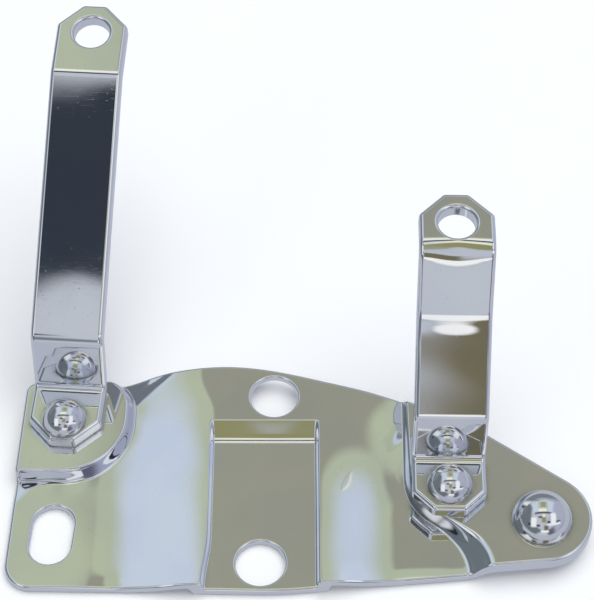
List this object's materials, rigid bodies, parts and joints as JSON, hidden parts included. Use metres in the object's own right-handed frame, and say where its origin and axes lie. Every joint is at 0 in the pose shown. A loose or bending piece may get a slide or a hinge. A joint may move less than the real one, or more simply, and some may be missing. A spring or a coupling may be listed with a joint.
{
  "type": "bracket",
  "caption": "Chromed plate bracket with a recessed channel for its mounting bolts and riveted bent arms ending in clipped, drilled tabs.",
  "frame": {"origin": "on the mounting face behind the recessed channel, close to midway between the upper and lower bolt holes", "axes": "+Z out of the front of the plate, +Y the way the arms reach, +X from the slotted end towards the rounded tip"},
  "size_m": [0.15, 0.1452, 0.0656],
  "materials": {
    "plate_chrome": "mirror chrome plate over steel",
    "arm_chrome": "mirror chrome plate over steel bar",
    "rivet_chrome": "mirror chrome plate, slightly softer polish"
  },
  "bodies": {
    "root": {"base_plate": "plate_chrome", "left_arm": "arm_chrome", "right_arm": "arm_chrome", "left_arm_rivet": "rivet_chrome", "right_arm_rivet": "rivet_chrome", "tip_rivet": "rivet_chrome"}
  },
  "joints": []
}
